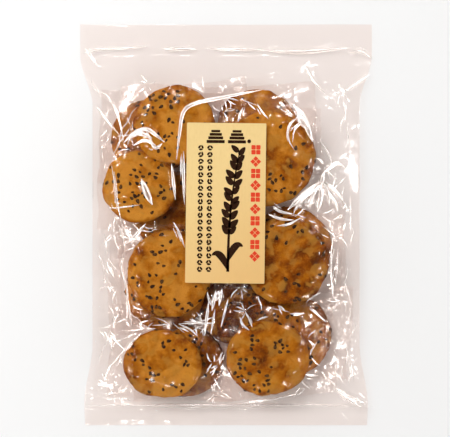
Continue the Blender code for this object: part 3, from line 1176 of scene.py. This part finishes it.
def addPleats():
    # the film's thin sharp folds: those of the photograph, then bursts and strays in its gaps
    draw = random.Random(pleats["seed"])
    points, faces = [], []
    calmPixel, calmReach = pleats["calm"]
    calmX, calmY = place(calmPixel)[:2]

    def lay(path, width):
        height = min(width * draw.uniform(*pleats["rise"]), pleats["highest"])
        own, ownFaces = foldRidge(path, width * mm, height * mm, bagUpper)
        faces.extend([[len(points) + i for i in f] for f in ownFaces])
        points.extend(own)

    def stray(x, y, angle, long):
        # one crooked fold from a place, if it stays clear of the label and the crackers' faces
        steps = pleats["steps"]
        path = []
        for _ in range(steps):
            path.append((x, y))
            angle += draw.gauss(0, pleats["crook"])
            x, y = x + math.cos(angle) * long / steps, y + math.sin(angle) * long / steps
        across, along = np.array(path).T
        covered = underLabel(across, along, 1 * mm) + crackerFaces(across, along)
        inside = halfWidth(along) - np.abs(across)
        if np.hypot(across - calmX, along - calmY).min() < calmReach * mm:
            return
        if covered.max() < 0.5 and inside.min() > 2 * mm and bag["lowerSeal"] < along.min():
            lay(path, draw.uniform(*pleats["width"]))

    for pixels, width, *_ in bagFolds.values():
        if width > pleats["widest"]:
            continue  # such a broad fold is in the film itself
        path = curvedPath(pixels)
        lay(path, 1.25 * width)
        if width < 2:
            for _ in range(2):  # finer folds beside it
                dx, dy = draw.gauss(0, 1.2) * mm, draw.gauss(0, 1.2) * mm
                start = draw.randint(0, len(path) // 3)
                near = [(x + dx, y + dy) for x, y in path[start:start + max(len(path) // 2, 3)]]
                if len(near) > 2:
                    lay(near, 0.7)
    for _ in range(pleats["bursts"]):
        x, y = draw.uniform(-80, 80) * mm, draw.uniform(-112, 92) * mm
        for _ in range(draw.randint(*pleats["strokes"])):
            angle = draw.uniform(0, math.tau)
            start = draw.uniform(0.5, 2) * mm
            stray(x + math.cos(angle) * start, y + math.sin(angle) * start, angle,
                  draw.uniform(*pleats["burstLength"]) * mm)
    for side in (-1, 1):
        for _ in range(pleats["sideEach"]):
            x, y = besideSeam(draw, side, -110, pleats["sideReach"])
            stray(x, y, math.pi / 2 + draw.gauss(0, 0.35), draw.uniform(*pleats["sideLength"]) * mm)
    for spec in upperLayer.values():
        for _ in range(pleats["aroundEach"]):
            x, y, angle = roundCracker(draw, spec, pleats["aroundReach"])
            stray(x, y, angle + math.pi / 2 + draw.gauss(0, 0.5), draw.uniform(*pleats["aroundLength"]) * mm)
    return addPiece("bag_pleats", points, faces, creaseFilm)


bagPleats = addPleats()
print("pleats made", len(bagPleats.data.polygons))


# The small wrappers: one closed pillow of film round each cracker, its seals to the left and right

wrapper = {
    "length": 82 * mm,
    "width": 62 * mm,
    "seal": 6.5 * mm,
    "cell": 1.15 * mm,
    "coarseCell": 2.1 * mm,
    "room": 0.35 * mm,
    "rounds": 900,
    "gathers": 14,
    "gatherDepth": 0.42 * mm,
    "endLift": 2.5 * mm,
    "sideWobble": 2.2 * mm,
    "endWobble": 2.4 * mm,
    "curl": 1.8 * mm,
    "waist": 0.055,  # how much narrower the middle is than the ends, a share
    "outerDrop": (-5, -2),  # millimetres
    "domeRoom": 0.6 * mm,
    "gatherEnds": (0.16, 0.46),  # where gathers and their reach begin and end, shares of the length
    "gatherReach": (0.18, 0.34),
    "gatherWidth": (0.9, 1.8),  # millimetres
    "rubSize": 7 * mm,
    "rubMiddle": 0.12,
}

wrapperShifts = {  # millimetres from the cracker's middle, and the turn in degrees
    "upper_left": (7, -2, 3),
    "second_left": (12, 0, -4),
    "third_left": (8, 2, 1),
    "lower_left": (6, 6, -3),
    "upper_right": (-6, 1, 2),
    "middle_right": (-4, 1, -2),
    "lower_right": (2, 4, 4),
    "back_upper_left": (6, 0, -2),
    "back_upper_right": (-2, 0, 3),
    "back_second_left": (3, 2, 2),
    "back_third_left": (4, 0, -3),
    "back_middle_right": (-5, 1, 1),
    "back_lower_right": (-3, 2, -2),
    "back_lower_left": (4, 4, 2),
    "back_middle": (0, 0, 5),
}


def wrapperShape(name, spec, number, cell):
    shiftAcross, shiftAlong, turn = wrapperShifts[name]
    draw = random.Random(100 + number)
    columns = int(round(wrapper["length"] / cell / 2)) * 2 + 1
    rows = int(round(wrapper["width"] / cell / 2)) * 2 + 1
    u = np.repeat(np.linspace(-0.5, 0.5, columns)[None, :], rows, axis=0) * wrapper["length"]
    v = np.repeat(np.linspace(-0.5, 0.5, rows)[:, None], columns, axis=1) * wrapper["width"]
    v = v * (1 - wrapper["waist"] * np.cos(u / wrapper["length"] * math.pi))
    wobble = cloudy(u, v * 0 + number, 24 * mm, number + 60) * wrapper["sideWobble"]
    v = v + wobble * (2 * np.abs(v) / wrapper["width"]) ** 3
    wobble = cloudy(v, u * 0 - number, 17 * mm, number + 80) * wrapper["endWobble"]
    u = u + wobble * (2 * np.abs(u) / wrapper["length"]) ** 3
    angle = math.radians(turn)
    x = (spec["at"][0] + shiftAcross) * mm + u * math.cos(angle) - v * math.sin(angle)
    y = (spec["at"][1] + shiftAlong) * mm + u * math.sin(angle) + v * math.cos(angle)
    limit = halfWidth(y) - 3 * mm
    x = x * np.minimum(1, limit.mean() / np.abs(x).max())
    y = np.clip(y, bag["lowerSeal"] + 2 * mm, 112 * mm)
    middle = spec["top"] * mm - crackers["filmRoom"] - crackers["thickness"] / 2
    inner = 1 if spec["at"][0] < 0 else -1
    lift = smoothStep(0.2, 0.5, inner * u / wrapper["length"]) * inner * wrapper["endLift"]
    outer = smoothStep(0.25, 0.5, -inner * u / wrapper["length"]) * draw.uniform(*wrapper["outerDrop"]) * mm
    curl = cloudy(u, v, 20 * mm, number) * wrapper["curl"]
    edge = middle + lift + outer + curl
    away = fromCracker(spec, x, y)
    inside = away < 0.97
    half = crackers["thickness"] / 2
    dome = half * np.sqrt(np.clip(1 - away**4, 0, 1)) + wrapper["domeRoom"]
    tilt = -math.sin(math.radians(spec["tilt"][0])) * (y - spec["at"][1] * mm)
    tilt = tilt - math.sin(math.radians(spec["tilt"][1])) * (x - spec["at"][0] * mm)
    floorUp = np.where(inside, middle + tilt + dome, -1.0)
    floorDown = np.where(inside, -(middle + tilt - dome), -1.0)
    held = np.abs(u) > wrapper["length"] / 2 - wrapper["seal"]
    held[0], held[-1] = True, True
    upper = pullTight(np.maximum(edge, floorUp), floorUp, edge, held, wrapper["rounds"])
    lower = -pullTight(np.maximum(-edge, floorDown), floorDown, -edge, held, wrapper["rounds"])
    ends = smoothStep(*wrapper["gatherEnds"], np.abs(u) / wrapper["length"])
    gathers = np.zeros(x.shape)
    for _ in range(wrapper["gathers"]):
        at = draw.uniform(-0.5, 0.5) * wrapper["width"]
        side = draw.choice((-1, 1))
        start = (side * wrapper["length"] / 2, at)
        reach = draw.uniform(*wrapper["gatherReach"])
        end = (side * reach * wrapper["length"], at * draw.uniform(0.5, 0.9))
        width = draw.uniform(*wrapper["gatherWidth"]) * mm
        addCrease(gathers, u, v, [start, end], width, draw.uniform(0.3, 1.0), 0.3)
    rub = 0.5 * np.abs(cloudy(u, v, wrapper["rubSize"], number + 40)) - wrapper["rubMiddle"]
    loose = smoothStep(0.98, 1.15, away)
    relief = (gathers * ends + rub * 0.7) * wrapper["gatherDepth"] * loose
    other = (np.roll(gathers, 3, axis=0) * ends + rub * 0.5) * wrapper["gatherDepth"] * loose
    upper, lower = upper + relief, lower + np.where(held, relief, other)
    high = filmHeights(x, y, bagUpper) - wrapper["room"]
    low = filmHeights(x, y, bagLower) + wrapper["room"]
    upper = np.clip(upper, low, high)
    lower = np.clip(np.minimum(lower, upper - 0.15 * mm), low - 0.15 * mm, high)
    upper = closeRim(upper, lower)
    toEnd = wrapper["length"] / 2 - np.abs(u)
    sealed = 1 - smoothStep(wrapper["seal"], wrapper["seal"] * 1.3, toEnd)
    slack = smoothStep(1.02, 1.18, away)
    values = [np.concatenate([g.ravel(), g[1:-1, 1:-1].ravel()]) for g in (u, sealed, slack)]
    return *closedPillow(x, y, upper, lower), values


def addWrappers(name, layer, firstNumber, cell):
    points, faces, values = [], [], []
    count = 0
    for number, (which, spec) in enumerate(layer.items(), firstNumber):
        own, ownFaces, ownValues = wrapperShape(which, spec, number, cell)
        points.append(own)
        values.append(ownValues)
        faces += [[count + i for i in f] for f in ownFaces]
        count += len(own)
    piece = addPiece(name, np.concatenate(points), faces, wrapperFilm)
    for attribute, lists in zip(("sealRun", "sealShare", "looseShare"), zip(*values)):
        addValues(piece, attribute, np.concatenate(lists))
    return piece


upperWrappers = addWrappers("wrappers_upper_layer", upperLayer, 1, wrapper["cell"])
lowerWrappers = addWrappers("wrappers_lower_layer", lowerLayer, 8, wrapper["coarseCell"])
print("wrappers made", len(upperWrappers.data.polygons), len(lowerWrappers.data.polygons))


# The label's print: fields of colour and simple shapes

printing = {
    "thickness": 0.05 * mm,
    "sink": 0.02 * mm,
    "turn": math.radians(-0.7),
    "scale": (0.936, 0.958),
}


labelMiddle = ((labelLow.x + labelHigh.x) / 2, (labelLow.y + labelHigh.y) / 2)


class Plates:
    # flat shapes of ink on the label, in millimetres from its middle
    def __init__(self):
        self.bm = bmesh.new()

    def add(self, outline):
        # one shape without hollows in its outline
        low = [self.bm.verts.new((x * mm, y * mm, -printing["sink"])) for x, y in outline]
        high = [self.bm.verts.new((x * mm, y * mm, printing["thickness"])) for x, y in outline]
        self.bm.faces.new(high)
        self.bm.faces.new(low[::-1])
        for a in range(len(outline)):
            b = (a + 1) % len(outline)
            self.bm.faces.new((low[a], low[b], high[b], high[a]))

    def strip(self, left, right):
        # a band between two rows of points, as one closed shape
        rows = []
        for a, b in zip(left, right):
            rows.append([self.bm.verts.new((x * mm, y * mm, z)) for x, y in (a, b)
                         for z in (-printing["sink"], printing["thickness"])])
        for (aLow, aHigh, bLow, bHigh), (cLow, cHigh, dLow, dHigh) in zip(rows, rows[1:]):
            self.bm.faces.new((aHigh, bHigh, dHigh, cHigh))
            self.bm.faces.new((aLow, cLow, dLow, bLow))
            self.bm.faces.new((aLow, aHigh, cHigh, cLow))
            self.bm.faces.new((bLow, dLow, dHigh, bHigh))
        for aLow, aHigh, bLow, bHigh in (rows[0], rows[-1]):
            self.bm.faces.new((aLow, aHigh, bHigh, bLow))

    def piece(self, name, material):
        bmesh.ops.triangulate(self.bm, faces=[f for f in self.bm.faces if len(f.verts) > 4])
        bmesh.ops.recalc_face_normals(self.bm, faces=self.bm.faces[:])
        size = Matrix.Diagonal((*printing["scale"], 1, 1))
        turn = Matrix.Rotation(printing["turn"], 4, "Z")
        self.bm.transform(Matrix.Translation((*labelMiddle, labelHigh.z)) @ turn @ size)
        mesh = bpy.data.meshes.new(name)
        self.bm.to_mesh(mesh)
        self.bm.free()
        mesh.materials.append(material)
        piece = bpy.data.objects.new(name, mesh)
        bpy.context.scene.collection.objects.link(piece)
        return piece


def oval(x, y, long, wide, angle=0.0, pointed=0.0, count=18):
    # an ellipse, or a grain if it is pointed, turned by angle
    outline = []
    for step in range(count):
        a = math.tau * step / count
        u, v = math.cos(a) * long / 2, math.sin(a) * wide / 2 * (1 - pointed * math.cos(a))
        outline.append((x + u * math.cos(angle) - v * math.sin(angle),
                        y + u * math.sin(angle) + v * math.cos(angle)))
    return outline


def bar(x, y, wide, high, corner, count=3):
    # a rectangle with rounded corners
    outline = []
    for quarter, (sx, sy) in enumerate(((1, 1), (-1, 1), (-1, -1), (1, -1))):
        for step in range(count + 1):
            a = math.pi / 2 * (quarter + step / count)
            outline.append((x + sx * (wide / 2 - corner) + corner * math.cos(a),
                            y + sy * (high / 2 - corner) + corner * math.sin(a)))
    return outline


def stroke(path, widths):
    # the two edges of a brush stroke along a path, as wide as widths say at each point
    left, right = [], []
    for i, (x, y) in enumerate(path):
        before, after = path[max(i - 1, 0)], path[min(i + 1, len(path) - 1)]
        dx, dy = after[0] - before[0], after[1] - before[1]
        half = widths[i] / 2 / math.hypot(dx, dy)
        left.append((x - dy * half, y + dx * half))
        right.append((x + dy * half, y - dx * half))
    return left, right


labelArt = {  # millimetres from the label's middle
    "hills": (-7.4, 7.2),
    "hillBars": ((41.2, 12.4, 2.1), (43.7, 10.2, 1.9), (46.0, 8.4, 1.9), (48.2, 6.2, 1.6)),  # up, wide, high
    "dot": (15.6, 41.6, 2.6),
    "earFoot": (2.0, -46.0),
    "earTop": (9.5, 35.5),
    "earBow": 2.4,
    "earStart": 0.30,
    "earPairs": 11,
    "grain": (8.0, 4.3),
    "stemWidths": (2.0, 0.8),  # at its foot and its top
    "leaves": ((-1, 1.0, 11.0), (1, 7.0, 10.0)),  # side, height above the ear's foot, reach
    "redColumn": 20.3,
    "redTop": 36.0,
    "redFoot": -35.5,
    "redCount": 10,
    "smallColumns": (-17.4, -11.2),
    "smallTop": 37.0,
    "smallFoot": -44.5,
    "smallCount": 19,
    "smallGroup": ((-0.95, 0.55, 60), (0.95, 0.55, 120), (0.0, -1.15, 0)),  # place, and turn in degrees
    "smallGrain": (2.75, 1.45),
    "square": (1.65, 2.95),  # the step from the middle, and the size
    "diamond": (1.95, 3.5),
}


def addDarkPrint(art):
    plates = Plates()
    draw = random.Random(3)
    for x in art["hills"]:  # two stepped hills of bars
        for y, wide, high in art["hillBars"]:
            plates.add(bar(x, y, wide, high, 0.35))
    x, y, size = art["dot"]
    plates.add(oval(x, y, size, size))

    def stem(t):  # a rice ear, bowed over at its top
        return (art["earFoot"][0] + (art["earTop"][0] - art["earFoot"][0]) * t ** art["earBow"],
                art["earFoot"][1] + (art["earTop"][1] - art["earFoot"][1]) * t)

    foot, top = art["stemWidths"]
    widths = [foot + (top - foot) * step / 30 for step in range(31)]
    plates.strip(*stroke([stem(step / 30) for step in range(31)], widths))
    for step in range(art["earPairs"]):
        t = art["earStart"] + (0.97 - art["earStart"]) * step / (art["earPairs"] - 1)
        x, y = stem(t)
        for side in (-1, 1):
            lean = math.radians(90 - side * draw.uniform(30, 50))
            reach = art["grain"][0] * draw.uniform(0.52, 0.68) * (1 - 0.25 * t)
            size = draw.uniform(0.85, 1.1) * (1.05 - 0.2 * t)
            plates.add(oval(x + math.cos(lean) * reach, y + math.sin(lean) * reach + draw.uniform(-0.8, 0.8),
                            art["grain"][0] * size, art["grain"][1] * size, lean, 0.3))
    for side, rise, long in art["leaves"]:
        x, y = art["earFoot"]
        leaf = [(x + side * long * t**1.25, y + rise + 21 * t - 11 * t**3) for t in np.linspace(0, 1, 19)]
        widths = [0.5 + 4.4 * math.sin(math.pi * t) ** 0.8 for t in np.linspace(0.02, 0.99, 19)]
        plates.strip(*stroke(leaf, widths))
    for x in art["smallColumns"]:  # two columns of small grains, three to a group
        for step in range(art["smallCount"]):
            y = art["smallTop"] + (art["smallFoot"] - art["smallTop"]) * step / (art["smallCount"] - 1)
            for dx, dy, turn in art["smallGroup"]:
                turned = math.radians(turn + draw.uniform(-16, 16))
                plates.add(oval(x + dx, y + dy, *art["smallGrain"], turned, 0.2, 10))
    return plates.piece("label_print_dark", darkInk)


def addRedPrint(art):
    plates = Plates()
    for step in range(art["redCount"]):
        x = art["redColumn"]
        y = art["redTop"] + (art["redFoot"] - art["redTop"]) * step / (art["redCount"] - 1)
        if step % 2 == 0:  # a square of four, then a diamond of four
            apart, size = art["square"]
            for dx, dy in ((-1, 1), (1, 1), (-1, -1), (1, -1)):
                plates.add(bar(x + dx * apart, y + dy * apart, size, size, 0.5))
        else:
            apart, size = art["diamond"]
            for dx, dy in ((0, 1), (0, -1), (-1, 0), (1, 0)):
                plates.add(oval(x + dx * apart, y + dy * apart, size, size, 0, 0, 4))
    return plates.piece("label_print_red", redInk)


darkPrint = addDarkPrint(labelArt)
redPrint = addRedPrint(labelArt)
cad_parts["label"].data.materials.clear()
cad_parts["label"].data.materials.append(paper)
print("label made")


# Each piece rides on the model's one body
pieces = {
    "film": (bagPiece, bagPleats, upperWrappers, lowerWrappers),
    "cracker": (upperCrackers, lowerCrackers),
    "sesame": (upperSeeds, lowerSeeds),
}
for slot, group in pieces.items():
    for piece in group:
        piece.visible_diffuse = slot != "film"  # no patches of light thrown by the film's gloss
        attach(piece, "root")
        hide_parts("bag")
for piece, slot in ((darkPrint, "ink"), (redPrint, "red_ink")):
    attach(piece, "root")


# The floor, the lights and the camera

studio = {
    "cameraDistance": 1.15,
    "cameraAim": (-0.65 * mm, 4.2 * mm),
    "sensor": 36.0,
    "zenith": (0.030, 0.029, 0.028),
    "horizon": (0.95, 0.94, 0.93),
    "skyEdges": (0.35, 0.85),  # where the horizon's colour ends and the zenith's begins
    "scaleHeight": 0.018,  # the level at which the picture has the photograph's scale
    "shaping": [  # azimuth and height in degrees, distance, width, length, radiance; not mirrored in film
        (140, 60, 1.5, 0.8, 0.8, 7.6),
        (-40, 45, 1.5, 0.6, 0.9, 2.0),
    ],
    "gleams": [  # the same, but seen only as reflections: azimuth, height and strength of small lamps
        (3, 33, 1.1), (38, 46, 0.7), (68, 31, 1.0), (97, 47, 0.9), (140, 33, 1.1), (178, 45, 0.9),
        (214, 32, 1.0), (255, 45, 0.7), (305, 33, 1.1), (338, 43, 0.6),
    ],
    "gleamSize": (0.05, 0.09),
}


def addFloor():
    corners = [(-2, -2, 0), (2, -2, 0), (2, 2, 0), (-2, 2, 0)]
    floor = addPiece("floor", corners, [(0, 1, 2, 3)], floorMaterial())


def addLight(name, azimuth, height, distance, wide, long, radiance, mirrored):
    # a rectangle facing the bag, its long side level
    lamp = bpy.data.lights.new(name, "AREA")
    lamp.shape = "RECTANGLE"
    lamp.size, lamp.size_y = long, wide
    lamp.energy = radiance * math.pi * long * wide
    holder = bpy.data.objects.new(name, lamp)
    a, h = math.radians(azimuth), math.radians(height)
    away = Vector((math.cos(a) * math.cos(h), math.sin(a) * math.cos(h), math.sin(h)))
    holder.location = away * distance
    holder.rotation_euler = away.to_track_quat("Z", "Y").to_euler()
    holder.visible_glossy = mirrored
    holder.visible_diffuse = not mirrored
    bpy.context.scene.collection.objects.link(holder)


def addWorld():
    # a white room, darker overhead
    world = bpy.data.worlds.new("white_room")
    bpy.context.scene.world = world
    world.use_nodes = True
    tree = world.node_tree
    coordinates = tree.nodes.new("ShaderNodeTexCoord")
    split = tree.nodes.new("ShaderNodeSeparateXYZ")
    tree.links.new(coordinates.outputs["Generated"], split.inputs[0])
    ramp = tree.nodes.new("ShaderNodeValToRGB")
    colours = (studio["horizon"], studio["zenith"])
    for element, position, colour in zip(ramp.color_ramp.elements, studio["skyEdges"], colours):
        element.position = position
        element.color = (*colour, 1)
    tree.links.new(split.outputs[2], ramp.inputs[0])
    tree.links.new(ramp.outputs[0], tree.nodes["Background"].inputs["Color"])


def addCamera():
    camera = bpy.data.cameras.new("camera")
    holder = bpy.data.objects.new("camera", camera)
    bpy.context.scene.collection.objects.link(holder)
    holder.location = (*studio["cameraAim"], studio["cameraDistance"])
    field = photo["width"] * photo["millimetresAPixel"] * mm
    camera.sensor_width = studio["sensor"]
    camera.lens = studio["sensor"] * (studio["cameraDistance"] - studio["scaleHeight"]) / field
    bpy.context.scene.camera = holder


addFloor()
for index, light in enumerate(studio["shaping"]):
    addLight(f"shaping_{index}", *light, mirrored=False)
wide, long = studio["gleamSize"]
for index, (azimuth, height, strength) in enumerate(studio["gleams"]):
    addLight(f"gleam_{index}", azimuth, height, 1.0, wide, long, strength / (wide * long), mirrored=True)
addWorld()
addCamera()
bpy.context.scene.view_settings.view_transform = "Standard"
bpy.context.scene.cycles.transparent_max_bounces = 32
print("studio made")
